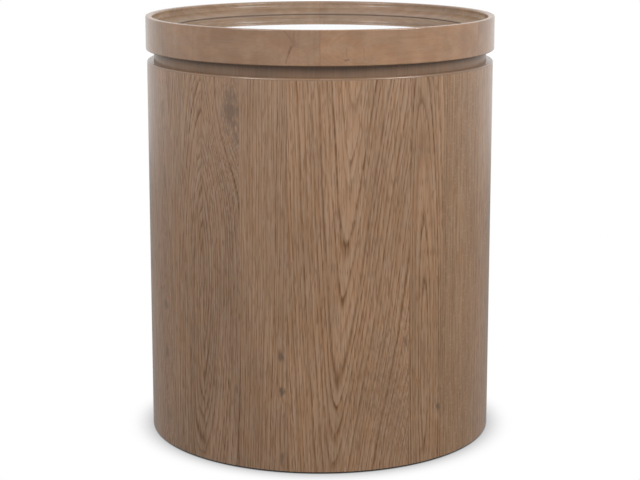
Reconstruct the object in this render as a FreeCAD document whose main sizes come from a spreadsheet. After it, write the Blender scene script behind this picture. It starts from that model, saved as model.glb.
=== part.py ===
import FreeCAD, Part
import os

import Sketcher

# Drum side table: an upright veneered drum, a recessed neck and a dished tray top with a mirror floor.
# Millimetres and degrees, +Z up, origin on the floor under the centre, front towards -Y.

# Driving sizes
SIZES = {
    # Overall form
    "overall_height": 610,
    "drum_diameter": 502,
    "drum_lift": 2.5,
    "rim_overhang": 1.5,
    "rim_height": 48,
    "reveal_height": 16,
    "neck_setback": 10,
    # Tray rim: flat top, short upright wall, cove and slope down to the mirror
    "rim_count": 6,
    "rim_turn": -90,
    "rim_top_width": 9.5,
    "rim_edge_round": 1.5,
    "crest_wall": 9.5,
    "crest_round": 3,
    "cove_radius": 8.5,
    "dish_run": 27.5,
    "dish_drop": 18.5,
    "dish_lip": 0.8,
    "ledge_width": 10.5,
    "tenon_thickness": 6,
    "tenon_width": 16,
    "tenon_length": 40,
    # Mirror and the pads that it lies on
    "mirror_thickness": 6,
    "mirror_arris": 1,
    "mirror_gap": 1,
    "pad_count": 6,
    "pad_diameter": 60,
    "pad_thickness": 1.5,
    "pad_inset": 44.5,
    # Neck and the screws that draw the tray down on it
    "neck_width": 70,
    "screw_count": 8,
    "screw_turn": 22.5,
    "screw_edge": 21,
    "screw_diameter": 5,
    "screw_head": 9.5,
    "screw_length": 50,
    "screw_point": 5,
    # Drum wall
    "veneer_thickness": 0.8,
    "lipping_thickness": 3,
    "lipping_round": 2.5,
    "shell_count": 4,
    "shell_thickness": 14,
    "spline_thickness": 4,
    "spline_width": 20,
    "batten_thickness": 18,
    "batten_width": 44,
    "former_thickness": 18,
    "former_width": 85,
    # Base panel and its screws
    "base_thickness": 12,
    "base_screw_count": 8,
    "base_screw_turn": 22.5,
    "base_screw_edge": 14,
    "base_screw_diameter": 4.5,
    "base_screw_head": 8.5,
    "base_screw_length": 26,
    "base_screw_point": 4,
    # Levelling feet
    "leveler_count": 4,
    "leveler_turn": 45,
    "leveler_inset": 46,
    "foot_diameter": 32,
    "foot_top_diameter": 20,
    "foot_height": 7,
    "foot_skirt": 3,
    "foot_floor": 2.2,
    "swivel_diameter": 13,
    "swivel_thickness": 2,
    "collar_flats": 13,
    "collar_height": 5,
    "stem_diameter": 8,
    "stem_length": 30,
    "stem_tip": 1,
    "nut_flange_diameter": 22,
    "nut_flange_thickness": 1.6,
    "nut_barrel_diameter": 10,
    "nut_barrel_length": 10.5,
    # Veneer leaves in order round the drum, as shares of the full turn
    "leaf_turn": -146.5,
    "leaf_01_share": 16.7,
    "leaf_02_share": 14.1,
    "leaf_03_share": 15.5,
    "leaf_04_share": 39.4,
    "leaf_05_share": 13.2,
    "leaf_06_share": 19.6,
    "leaf_07_share": 37.0,
    "leaf_08_share": 46.0,
    "leaf_09_share": 31.5,
    "leaf_10_share": 43.0,
    "leaf_11_share": 40.0,
    "leaf_12_share": 44.0,
    # Clearances
    "glue_gap": 0.3,
    "joint_gap": 0.15,
    "fit_gap": 0.2,
    "swivel_gap": 0.3,
    "thread_gap": 0.05,
    "screw_room": 0.3,
    "overrun": 5,
}

doc = FreeCAD.newDocument("DrumSideTable")
sheet = doc.addObject("Spreadsheet::Sheet", "Sizes")
for row, (alias, number) in enumerate(SIZES.items(), start=1):
    sheet.set(f"A{row}", alias)
    sheet.set(f"B{row}", str(number))
    sheet.setAlias(f"B{row}", alias)
doc.recompute()

# Radii and levels that several pieces share, as expressions of the driving sizes
DRUM_RADIUS = "(Sizes.drum_diameter / 2)"
RIM_RADIUS = f"({DRUM_RADIUS} + Sizes.rim_overhang)"
RIM_TOP = "Sizes.overall_height"
RIM_BOTTOM = "(Sizes.overall_height - Sizes.rim_height)"
SHOULDER = f"({RIM_BOTTOM} - Sizes.reveal_height)"
SHELL_TOP = f"({SHOULDER} - Sizes.lipping_thickness)"
SHELL_BOTTOM = "(Sizes.drum_lift + Sizes.lipping_thickness)"
SHELL_OUTSIDE = f"({DRUM_RADIUS} - Sizes.veneer_thickness - Sizes.glue_gap)"
SHELL_INSIDE = f"({SHELL_OUTSIDE} - Sizes.shell_thickness)"
HOLLOW_RADIUS = f"({SHELL_INSIDE} - Sizes.glue_gap)"
FORMER_INSIDE = f"({HOLLOW_RADIUS} - Sizes.former_width)"
NECK_RADIUS = f"({DRUM_RADIUS} - Sizes.neck_setback)"
NECK_CORE = f"({NECK_RADIUS} - Sizes.veneer_thickness - Sizes.glue_gap)"
CREST_RADIUS = f"({RIM_RADIUS} - Sizes.rim_top_width)"
COVE_CORNER = f"({RIM_TOP} - Sizes.crest_wall)"
MIRROR_TOP = f"({RIM_TOP} - Sizes.dish_drop)"
MIRROR_BOTTOM = f"({MIRROR_TOP} - Sizes.mirror_thickness)"
DISH_FOOT_RADIUS = f"({CREST_RADIUS} - Sizes.dish_run)"
MIRROR_RADIUS = f"({DISH_FOOT_RADIUS} - Sizes.mirror_gap)"
DISH_FOOT = f"({MIRROR_TOP} + Sizes.dish_lip)"
PANEL_TOP = f"({MIRROR_BOTTOM} - Sizes.pad_thickness)"
REBATE_RADIUS = f"({DISH_FOOT_RADIUS} + Sizes.ledge_width)"
PAD_RING = f"({MIRROR_RADIUS} - Sizes.pad_inset - Sizes.pad_diameter / 2)"
SCREW_RING = f"({REBATE_RADIUS} - Sizes.screw_edge)"
BASE_SCREW_RING = f"({HOLLOW_RADIUS} - Sizes.base_screw_edge)"
LEVELER_RING = f"({HOLLOW_RADIUS} - Sizes.leveler_inset)"
TOP_FORMER_BOTTOM = f"({SHELL_TOP} - Sizes.former_thickness)"
STEM_RADIUS = "(Sizes.stem_diameter / 2)"
NUT_BARREL_RADIUS = "(Sizes.nut_barrel_diameter / 2)"
NUT_HOLE_RADIUS = f"({NUT_BARREL_RADIUS} + Sizes.glue_gap)"
COLLAR_BOTTOM = "(Sizes.foot_height + Sizes.swivel_gap)"
COLLAR_TOP = f"({COLLAR_BOTTOM} + Sizes.collar_height)"
NUT_BOTTOM = f"({COLLAR_TOP} + Sizes.swivel_gap)"
BASE_BOTTOM = f"({NUT_BOTTOM} + Sizes.nut_flange_thickness)"
BASE_TOP = f"({BASE_BOTTOM} + Sizes.base_thickness)"
BOTTOM_FORMER_TOP = f"({BASE_TOP} + Sizes.former_thickness)"
FULL_TURN = 360
MATCH = 1e-6
UPRIGHT = FreeCAD.Vector(0, 0, 1)

nodes = []


def value(expression):
    """The number that an expression of the sheet gives now."""
    result = sheet.evalExpression(expression)
    return float(getattr(result, "Value", result))


def arc_angle(length, radius):
    """Expression for the angle that an arc of this length takes at this radius."""
    return f"({length} / {radius} * 180 / pi)"


def new_body(label):
    """An empty body with its own name."""
    body = doc.addObject("PartDesign::Body", label)
    body.Label = label
    return body


def origin_part(body, role):
    """One of the body's own origin planes or axes."""
    return next(part for part in body.Origin.OriginFeatures if part.Role == role)


def flat_sketch(body, name, level):
    """A level sketch at this height."""
    sketch = body.newObject("Sketcher::SketchObject", name)
    sketch.AttachmentSupport = [(origin_part(body, "XY_Plane"), "")]
    sketch.MapMode = "FlatFace"
    sketch.setExpression("AttachmentOffset.Base.z", level)
    return sketch


def upright_sketch(body, name, turn="0"):
    """A sketch in an upright plane through the axis, turned about it from the +X side."""
    sketch = body.newObject("Sketcher::SketchObject", name)
    sketch.AttachmentSupport = [(origin_part(body, "XZ_Plane"), "")]
    sketch.MapMode = "FlatFace"
    about_sketch_height = FreeCAD.Rotation(FreeCAD.Vector(0, 1, 0), FULL_TURN / 2)
    sketch.AttachmentOffset = FreeCAD.Placement(FreeCAD.Vector(), about_sketch_height)
    sketch.setExpression("AttachmentOffset.Rotation.Angle", turn)
    return sketch


def hold(sketch, kind, axis, edge, point, expression):
    """Hold one coordinate of a sketch point: on the axis where it is zero, else by a bound dimension."""
    number = value(expression)
    if abs(number) < MATCH:
        sketch.addConstraint(Sketcher.Constraint("PointOnObject", edge, point, axis))
        return
    index = sketch.addConstraint(Sketcher.Constraint(kind, -1, 1, edge, point, number))
    sketch.setExpression(f"Constraints[{index}]", expression)


def draw_outline(sketch, corners):
    """A closed outline of straight edges; each corner is a pair of expressions."""
    first = sketch.GeometryCount
    count = len(corners)
    points = [FreeCAD.Vector(value(across), value(up), 0) for across, up in corners]
    for index in range(count):
        sketch.addGeometry(Part.LineSegment(points[index], points[(index + 1) % count]), False)
    for index in range(count):
        following = first + (index + 1) % count
        sketch.addConstraint(Sketcher.Constraint("Coincident", first + index, 2, following, 1))
    for index, (across, up) in enumerate(corners):
        before = corners[index - 1] if index else (None, None)
        if across == before[0]:
            sketch.addConstraint(Sketcher.Constraint("Vertical", first + index - 1))
        else:
            hold(sketch, "DistanceX", -2, first + index, 1, across)
        if up == before[1]:
            sketch.addConstraint(Sketcher.Constraint("Horizontal", first + index - 1))
        else:
            hold(sketch, "DistanceY", -1, first + index, 1, up)


def rectangle(inner, outer, bottom, top):
    """Corners of an upright rectangle."""
    return [(inner, bottom), (outer, bottom), (outer, top), (inner, top)]


def turn_profile(body, corners, angle=None, both_ways=False):
    """Turn a profile round the body's upright axis, all the way or through an angle."""
    sketch = upright_sketch(body, f"{body.Name}_profile")
    draw_outline(sketch, corners)
    turned = body.newObject("PartDesign::Revolution", f"{body.Name}_turned")
    turned.Profile = sketch
    turned.ReferenceAxis = (sketch, ["V_Axis"])
    turned.Angle = FULL_TURN
    turned.Midplane = both_ways
    if angle is not None:
        turned.setExpression("Angle", angle)
    doc.recompute()


def spread(body, feature, count):
    """Repeat a feature evenly round the upright axis."""
    pattern = body.newObject("PartDesign::PolarPattern", f"{feature.Name}_ring")
    pattern.Originals = [feature]
    pattern.Axis = (origin_part(body, "Z_Axis"), [""])
    pattern.Angle = FULL_TURN
    pattern.setExpression("Occurrences", count)
    body.Tip = pattern
    doc.recompute()


def check_cut(body, before, name):
    """Stop where a cut took nothing away."""
    doc.recompute()
    if body.Shape.Volume >= before:
        raise RuntimeError(f"{name} cuts nothing from {body.Label}")


def ring_profile(body, name, ring, turn, corners):
    """A profile and its own upright axis on a ring; corners give radius from that axis, and level."""
    sketch = upright_sketch(body, name, turn)
    lowest = corners[0][1]
    highest = corners[-1][1]
    bottom = FreeCAD.Vector(value(ring), value(lowest), 0)
    top = FreeCAD.Vector(value(ring), value(highest), 0)
    axis = sketch.addGeometry(Part.LineSegment(bottom, top), True)
    sketch.addConstraint(Sketcher.Constraint("Vertical", axis))
    hold(sketch, "DistanceX", -2, axis, 1, ring)
    hold(sketch, "DistanceY", -1, axis, 1, lowest)
    hold(sketch, "DistanceY", -1, axis, 2, highest)
    draw_outline(sketch, [(f"({ring} + {radius})", level) for radius, level in corners])
    return sketch


def turn_on_ring(body, kind, name, ring, turn, corners):
    """Turn a ring profile about its own axis, to add or to cut."""
    sketch = ring_profile(body, f"{name}_profile", ring, turn, corners)
    feature = body.newObject(f"PartDesign::{kind}", name)
    feature.Profile = sketch
    feature.ReferenceAxis = (sketch, ["Axis0"])
    feature.Angle = FULL_TURN
    body.Tip = feature
    return feature


def bore_ring(body, name, ring, turn, corners, count):
    """Turned holes on a ring round the axis."""
    before = body.Shape.Volume
    hole = turn_on_ring(body, "Groove", name, ring, turn, corners)
    check_cut(body, before, name)
    spread(body, hole, count)


def turned_ring(label, ring, turn, corners, count):
    """A group of equal turned pieces on a ring round the axis."""
    body = new_body(label)
    body.AllowCompound = True
    piece = turn_on_ring(body, "Revolution", f"{label}_turned", ring, turn, corners)
    doc.recompute()
    spread(body, piece, count)
    nodes.append(body)


def ring_edges(shape, radius, level):
    """Names of the circular edges of this radius at this level."""
    names = []
    for number, edge in enumerate(shape.Edges, start=1):
        curve = edge.Curve
        if not isinstance(curve, Part.Circle):
            continue
        if abs(curve.Radius - value(radius)) < MATCH and abs(curve.Center.z - value(level)) < MATCH:
            names.append(f"Edge{number}")
    return names


def dress_edges(body, kind, name, places, size):
    """Round or bevel the circular edges at these places."""
    base = body.Tip
    names = [edge for radius, level in places for edge in ring_edges(base.Shape, radius, level)]
    dressing = body.newObject(f"PartDesign::{kind}", name)
    dressing.Base = (base, names)
    dressing.setExpression("Radius" if kind == "Fillet" else "Size", size)
    body.Tip = dressing
    doc.recompute()


def turn_to(piece, angle):
    """Turn a piece about the table's upright axis."""
    piece.Placement = FreeCAD.Placement(FreeCAD.Vector(), FreeCAD.Rotation(UPRIGHT, FULL_TURN / 2))
    piece.setExpression("Placement.Rotation.Angle", angle)


def wedge_pieces(label, blank, count, start, radius, top):
    """Cut a ring blank into equal pieces with a glue joint between neighbours."""
    gap = arc_angle("Sizes.joint_gap", radius)
    for index in range(int(value(count))):
        wedge = doc.addObject("Part::Cylinder", f"{label}_wedge_{index + 1}")
        wedge.setExpression("Radius", f"{radius} + Sizes.overrun")
        wedge.setExpression("Height", f"{top} + Sizes.overrun")
        wedge.setExpression("Angle", f"{FULL_TURN} / {count} - {gap}")
        turn_to(wedge, f"{start} + {index} * {FULL_TURN} / {count} + {gap} / 2")
        piece = doc.addObject("Part::Common", f"{label}_{index + 1}")
        piece.Label = f"{label}_{index + 1}"
        piece.Base = blank
        piece.Tool = wedge
        nodes.append(piece)


# Rim blank: one turned ring with a rebate below for the tray panel and a mortise across each joint
rim_blank = new_body("rim_blank")
turn_profile(rim_blank, [
    (REBATE_RADIUS, RIM_BOTTOM),
    (RIM_RADIUS, RIM_BOTTOM),
    (RIM_RADIUS, RIM_TOP),
    (CREST_RADIUS, RIM_TOP),
    (CREST_RADIUS, COVE_CORNER),
    (DISH_FOOT_RADIUS, DISH_FOOT),
    (DISH_FOOT_RADIUS, PANEL_TOP),
    (REBATE_RADIUS, PANEL_TOP),
])
dress_edges(rim_blank, "Fillet", "rim_cove", [(CREST_RADIUS, COVE_CORNER)],
            "min(Sizes.cove_radius; Sizes.crest_wall - Sizes.crest_round)")
dress_edges(rim_blank, "Fillet", "rim_crest", [(CREST_RADIUS, RIM_TOP)], "Sizes.crest_round")
dress_edges(rim_blank, "Fillet", "rim_edges", [(RIM_RADIUS, RIM_TOP), (RIM_RADIUS, RIM_BOTTOM)],
            "Sizes.rim_edge_round")
TENON_RADIUS = f"(({REBATE_RADIUS} + {RIM_RADIUS}) / 2)"
TENON_LEVEL = f"({RIM_BOTTOM} + Sizes.rim_height / 2)"
rim_volume = rim_blank.Shape.Volume
mortise_sketch = upright_sketch(rim_blank, "mortise_outline")
draw_outline(mortise_sketch, rectangle(
    f"({TENON_RADIUS} - Sizes.tenon_width / 2 - Sizes.fit_gap)",
    f"({TENON_RADIUS} + Sizes.tenon_width / 2 + Sizes.fit_gap)",
    f"({TENON_LEVEL} - Sizes.tenon_thickness / 2 - Sizes.fit_gap)",
    f"({TENON_LEVEL} + Sizes.tenon_thickness / 2 + Sizes.fit_gap)"))
mortise = rim_blank.newObject("PartDesign::Pocket", "mortise")
mortise.Profile = mortise_sketch
mortise.Midplane = True
mortise.setExpression("Length", "Sizes.tenon_length + 2 * Sizes.fit_gap")
rim_blank.Tip = mortise
check_cut(rim_blank, rim_volume, "mortise")
spread(rim_blank, mortise, "Sizes.rim_count")
turn_to(rim_blank, "Sizes.rim_turn")
wedge_pieces("rim_segment", rim_blank, "Sizes.rim_count", "Sizes.rim_turn", RIM_RADIUS, RIM_TOP)

# Loose tenons across the rim's joints
rim_tenons = new_body("rim_tenons")
rim_tenons.AllowCompound = True
tenon_sketch = upright_sketch(rim_tenons, "tenon_outline")
draw_outline(tenon_sketch, rectangle(
    f"({TENON_RADIUS} - Sizes.tenon_width / 2)",
    f"({TENON_RADIUS} + Sizes.tenon_width / 2)",
    f"({TENON_LEVEL} - Sizes.tenon_thickness / 2)",
    f"({TENON_LEVEL} + Sizes.tenon_thickness / 2)"))
tenon = rim_tenons.newObject("PartDesign::Pad", "tenon")
tenon.Profile = tenon_sketch
tenon.Midplane = True
tenon.setExpression("Length", "Sizes.tenon_length")
doc.recompute()
spread(rim_tenons, tenon, "Sizes.rim_count")
turn_to(rim_tenons, "Sizes.rim_turn")
nodes.append(rim_tenons)

# Screws from inside the drum, up through the top former and the neck into the tray panel
SCREW_RADIUS = "(Sizes.screw_diameter / 2)"
SCREW_HEAD_RADIUS = "(Sizes.screw_head / 2)"
SCREW_TIP = f"({TOP_FORMER_BOTTOM} + Sizes.screw_length)"
SCREW_NECK = f"({TOP_FORMER_BOTTOM} + {SCREW_HEAD_RADIUS} - {SCREW_RADIUS})"
turned_ring("top_screws", SCREW_RING, "Sizes.screw_turn", [
    ("0", TOP_FORMER_BOTTOM),
    (SCREW_HEAD_RADIUS, TOP_FORMER_BOTTOM),
    (SCREW_RADIUS, SCREW_NECK),
    (SCREW_RADIUS, f"({SCREW_TIP} - Sizes.screw_point)"),
    ("0", SCREW_TIP),
], "Sizes.screw_count")

# Tray panel: plywood disc let into the rim from below, flush with its underside, with pilot holes
tray_panel = new_body("tray_panel")
turn_profile(tray_panel, rectangle("0", f"({REBATE_RADIUS} - Sizes.glue_gap)", RIM_BOTTOM, PANEL_TOP))
bore_ring(tray_panel, "tray_pilot", SCREW_RING, "Sizes.screw_turn", rectangle(
    "0", f"({SCREW_RADIUS} + Sizes.thread_gap)",
    f"({RIM_BOTTOM} - Sizes.overrun)", f"({SCREW_TIP} + Sizes.fit_gap)"), "Sizes.screw_count")
nodes.append(tray_panel)

# Mastic pads between the tray panel and the mirror
turned_ring("mirror_pads", PAD_RING, "0", rectangle(
    "0", "(Sizes.pad_diameter / 2)", PANEL_TOP, MIRROR_BOTTOM), "Sizes.pad_count")

# Mirror pane with a ground arris on both edges
mirror_pane = new_body("mirror_pane")
turn_profile(mirror_pane, rectangle("0", MIRROR_RADIUS, MIRROR_BOTTOM, MIRROR_TOP))
dress_edges(mirror_pane, "Chamfer", "mirror_arris",
            [(MIRROR_RADIUS, MIRROR_TOP), (MIRROR_RADIUS, MIRROR_BOTTOM)], "Sizes.mirror_arris")
nodes.append(mirror_pane)

# Neck ring: plywood spacer that stands on the drum and carries the tray
neck_ring = new_body("neck_ring")
turn_profile(neck_ring, rectangle(f"({NECK_CORE} - Sizes.neck_width)", NECK_CORE, SHELL_TOP, RIM_BOTTOM))
bore_ring(neck_ring, "neck_hole", SCREW_RING, "Sizes.screw_turn", rectangle(
    "0", f"({SCREW_RADIUS} + Sizes.screw_room)",
    f"({SHELL_TOP} - Sizes.overrun)", f"({RIM_BOTTOM} + Sizes.overrun)"), "Sizes.screw_count")
nodes.append(neck_ring)

# Veneer band round the neck
neck_band = new_body("neck_band")
turn_profile(neck_band, rectangle(
    f"({NECK_RADIUS} - Sizes.veneer_thickness)", NECK_RADIUS, SHELL_TOP, RIM_BOTTOM))
nodes.append(neck_band)

# Shoulder lipping: solid strip round the top of the drum, rounded outside, butted to the neck
shoulder_lipping = new_body("shoulder_lipping")
turn_profile(shoulder_lipping, rectangle(
    f"({NECK_RADIUS} + Sizes.glue_gap)", DRUM_RADIUS, SHELL_TOP, SHOULDER))
dress_edges(shoulder_lipping, "Fillet", "shoulder_round", [(DRUM_RADIUS, SHOULDER)],
            "min(Sizes.lipping_round; Sizes.lipping_thickness - Sizes.glue_gap)")
nodes.append(shoulder_lipping)

# Base lipping: solid strip that closes the lower edge of the shell behind the veneer
base_lipping = new_body("base_lipping")
turn_profile(base_lipping, rectangle(SHELL_INSIDE, SHELL_OUTSIDE, "Sizes.drum_lift", SHELL_BOTTOM))
nodes.append(base_lipping)

# Shell blank: bent plywood tube with an upright slot across each joint
SPLINE_RADIUS = f"(({SHELL_INSIDE} + {SHELL_OUTSIDE}) / 2)"
shell_blank = new_body("shell_blank")
turn_profile(shell_blank, rectangle(SHELL_INSIDE, SHELL_OUTSIDE, SHELL_BOTTOM, SHELL_TOP))
shell_volume = shell_blank.Shape.Volume
slot_sketch = flat_sketch(shell_blank, "slot_outline", SHELL_TOP)
draw_outline(slot_sketch, rectangle(
    f"({SPLINE_RADIUS} - Sizes.spline_thickness / 2 - Sizes.fit_gap)",
    f"({SPLINE_RADIUS} + Sizes.spline_thickness / 2 + Sizes.fit_gap)",
    "(-Sizes.spline_width / 2 - Sizes.fit_gap)",
    "(Sizes.spline_width / 2 + Sizes.fit_gap)"))
slot = shell_blank.newObject("PartDesign::Pocket", "slot")
slot.Profile = slot_sketch
slot.setExpression("Length", f"{SHELL_TOP} - {SHELL_BOTTOM} + Sizes.overrun")
shell_blank.Tip = slot
check_cut(shell_blank, shell_volume, "slot")
spread(shell_blank, slot, "Sizes.shell_count")
wedge_pieces("shell_panel", shell_blank, "Sizes.shell_count", "0", SHELL_OUTSIDE, SHELL_TOP)

# Loose splines in the shell's joints, the full height of the shell
shell_splines = new_body("shell_splines")
shell_splines.AllowCompound = True
spline_sketch = flat_sketch(shell_splines, "spline_outline", SHELL_BOTTOM)
draw_outline(spline_sketch, rectangle(
    f"({SPLINE_RADIUS} - Sizes.spline_thickness / 2)",
    f"({SPLINE_RADIUS} + Sizes.spline_thickness / 2)",
    "(-Sizes.spline_width / 2)",
    "(Sizes.spline_width / 2)"))
spline = shell_splines.newObject("PartDesign::Pad", "spline")
spline.Profile = spline_sketch
spline.setExpression("Length", f"{SHELL_TOP} - {SHELL_BOTTOM}")
doc.recompute()
spread(shell_splines, spline, "Sizes.shell_count")
nodes.append(shell_splines)

# Top former: plywood ring under the neck, countersunk from below for the tray's screws
top_former = new_body("top_former")
turn_profile(top_former, rectangle(FORMER_INSIDE, HOLLOW_RADIUS, TOP_FORMER_BOTTOM, SHELL_TOP))
bore_ring(top_former, "top_former_hole", SCREW_RING, "Sizes.screw_turn", [
    ("0", TOP_FORMER_BOTTOM),
    (f"({SCREW_HEAD_RADIUS} + Sizes.screw_room)", TOP_FORMER_BOTTOM),
    (f"({SCREW_RADIUS} + Sizes.screw_room)", SCREW_NECK),
    (f"({SCREW_RADIUS} + Sizes.screw_room)", f"({SHELL_TOP} + Sizes.overrun)"),
    ("0", f"({SHELL_TOP} + Sizes.overrun)"),
], "Sizes.screw_count")
nodes.append(top_former)

# Middle former: plywood ring halfway up, notched round the battens
MID_FORMER_BOTTOM = f"(({BOTTOM_FORMER_TOP} + {TOP_FORMER_BOTTOM} - Sizes.former_thickness) / 2)"
BATTEN_INSIDE = f"({HOLLOW_RADIUS} - Sizes.batten_thickness)"
mid_former = new_body("mid_former")
turn_profile(mid_former, rectangle(
    FORMER_INSIDE, HOLLOW_RADIUS, MID_FORMER_BOTTOM, f"({MID_FORMER_BOTTOM} + Sizes.former_thickness)"))
mid_volume = mid_former.Shape.Volume
notch_sketch = upright_sketch(mid_former, "notch_outline")
draw_outline(notch_sketch, rectangle(
    f"({BATTEN_INSIDE} - Sizes.fit_gap)", f"({HOLLOW_RADIUS} + Sizes.overrun)",
    f"({MID_FORMER_BOTTOM} - Sizes.overrun)",
    f"({MID_FORMER_BOTTOM} + Sizes.former_thickness + Sizes.overrun)"))
notch = mid_former.newObject("PartDesign::Groove", "notch")
notch.Profile = notch_sketch
notch.ReferenceAxis = (notch_sketch, ["V_Axis"])
notch.Midplane = True
notch.setExpression("Angle", arc_angle("(Sizes.batten_width + 2 * Sizes.fit_gap)", HOLLOW_RADIUS))
mid_former.Tip = notch
check_cut(mid_former, mid_volume, "notch")
spread(mid_former, notch, "Sizes.shell_count")
nodes.append(mid_former)

# Upright battens that back the shell's joints between the bottom and top formers
for index in range(int(value("Sizes.shell_count"))):
    batten = new_body(f"batten_{index + 1}")
    turn_profile(batten, rectangle(BATTEN_INSIDE, HOLLOW_RADIUS, BOTTOM_FORMER_TOP, TOP_FORMER_BOTTOM),
                 arc_angle("Sizes.batten_width", HOLLOW_RADIUS), both_ways=True)
    turn_to(batten, f"{index} * {FULL_TURN} / Sizes.shell_count")
    nodes.append(batten)

# Screws from below that hold the base panel to the bottom former
BASE_SCREW_RADIUS = "(Sizes.base_screw_diameter / 2)"
BASE_HEAD_RADIUS = "(Sizes.base_screw_head / 2)"
BASE_SCREW_TIP = f"({BASE_BOTTOM} + Sizes.base_screw_length)"
BASE_SCREW_NECK = f"({BASE_BOTTOM} + {BASE_HEAD_RADIUS} - {BASE_SCREW_RADIUS})"
turned_ring("base_screws", BASE_SCREW_RING, "Sizes.base_screw_turn", [
    ("0", BASE_BOTTOM),
    (BASE_HEAD_RADIUS, BASE_BOTTOM),
    (BASE_SCREW_RADIUS, BASE_SCREW_NECK),
    (BASE_SCREW_RADIUS, f"({BASE_SCREW_TIP} - Sizes.base_screw_point)"),
    ("0", BASE_SCREW_TIP),
], "Sizes.base_screw_count")

# Base panel: plywood disc that closes the drum, bored for the tee nuts and countersunk for its screws
base_panel = new_body("base_panel")
turn_profile(base_panel, rectangle("0", HOLLOW_RADIUS, BASE_BOTTOM, BASE_TOP))
bore_ring(base_panel, "nut_hole", LEVELER_RING, "Sizes.leveler_turn", rectangle(
    "0", NUT_HOLE_RADIUS,
    f"({BASE_BOTTOM} - Sizes.overrun)", f"({BASE_TOP} + Sizes.overrun)"), "Sizes.leveler_count")
bore_ring(base_panel, "base_screw_hole", BASE_SCREW_RING, "Sizes.base_screw_turn", [
    ("0", BASE_BOTTOM),
    (f"({BASE_HEAD_RADIUS} + Sizes.screw_room)", BASE_BOTTOM),
    (f"({BASE_SCREW_RADIUS} + Sizes.screw_room)", BASE_SCREW_NECK),
    (f"({BASE_SCREW_RADIUS} + Sizes.screw_room)", f"({BASE_TOP} + Sizes.overrun)"),
    ("0", f"({BASE_TOP} + Sizes.overrun)"),
], "Sizes.base_screw_count")
nodes.append(base_panel)

# Bottom former: plywood ring over the base panel, drilled with it, so that the stems have room to rise
bottom_former = new_body("bottom_former")
turn_profile(bottom_former, rectangle(FORMER_INSIDE, HOLLOW_RADIUS, BASE_TOP, BOTTOM_FORMER_TOP))
bore_ring(bottom_former, "stem_hole", LEVELER_RING, "Sizes.leveler_turn", rectangle(
    "0", NUT_HOLE_RADIUS,
    f"({BASE_TOP} - Sizes.overrun)", f"({BOTTOM_FORMER_TOP} + Sizes.overrun)"), "Sizes.leveler_count")
bore_ring(bottom_former, "base_pilot", BASE_SCREW_RING, "Sizes.base_screw_turn", rectangle(
    "0", f"({BASE_SCREW_RADIUS} + Sizes.thread_gap)",
    f"({BASE_TOP} - Sizes.overrun)", f"({BASE_SCREW_TIP} + Sizes.fit_gap)"), "Sizes.base_screw_count")
nodes.append(bottom_former)

# Tee nuts pressed into the base panel from below
turned_ring("tee_nuts", LEVELER_RING, "Sizes.leveler_turn", [
    (f"({STEM_RADIUS} + Sizes.thread_gap)", NUT_BOTTOM),
    ("(Sizes.nut_flange_diameter / 2)", NUT_BOTTOM),
    ("(Sizes.nut_flange_diameter / 2)", BASE_BOTTOM),
    (NUT_BARREL_RADIUS, BASE_BOTTOM),
    (NUT_BARREL_RADIUS, f"({BASE_BOTTOM} + Sizes.nut_barrel_length)"),
    (f"({STEM_RADIUS} + Sizes.thread_gap)", f"({BASE_BOTTOM} + Sizes.nut_barrel_length)"),
], "Sizes.leveler_count")

# Levelling feet: a moulded pad holds the stem's disc in a socket, so that the stem turns and the pad stays
SWIVEL_RADIUS = "(Sizes.swivel_diameter / 2)"
SOCKET_RADIUS = f"({SWIVEL_RADIUS} + Sizes.swivel_gap)"
SOCKET_MOUTH = f"({STEM_RADIUS} + Sizes.swivel_gap)"
SWIVEL_BOTTOM = "(Sizes.foot_floor + Sizes.swivel_gap)"
SWIVEL_TOP = f"({SWIVEL_BOTTOM} + Sizes.swivel_thickness)"
SOCKET_TOP = f"({SWIVEL_TOP} + Sizes.swivel_gap)"
STEM_TOP = f"({COLLAR_TOP} + Sizes.stem_length)"
COLLAR_RADIUS = "(Sizes.collar_flats / sqrt(3))"
HEXAGON_ANGLES = [f"({corner} * {FULL_TURN} / 6)" for corner in range(6)]


def place_leveler(piece, index):
    """Stand a levelling piece on its place round the base."""
    angle = f"(Sizes.leveler_turn + {index} * {FULL_TURN} / Sizes.leveler_count)"
    piece.setExpression("Placement.Base.x", f"{LEVELER_RING} * cos({angle})")
    piece.setExpression("Placement.Base.y", f"{LEVELER_RING} * sin({angle})")


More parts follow.
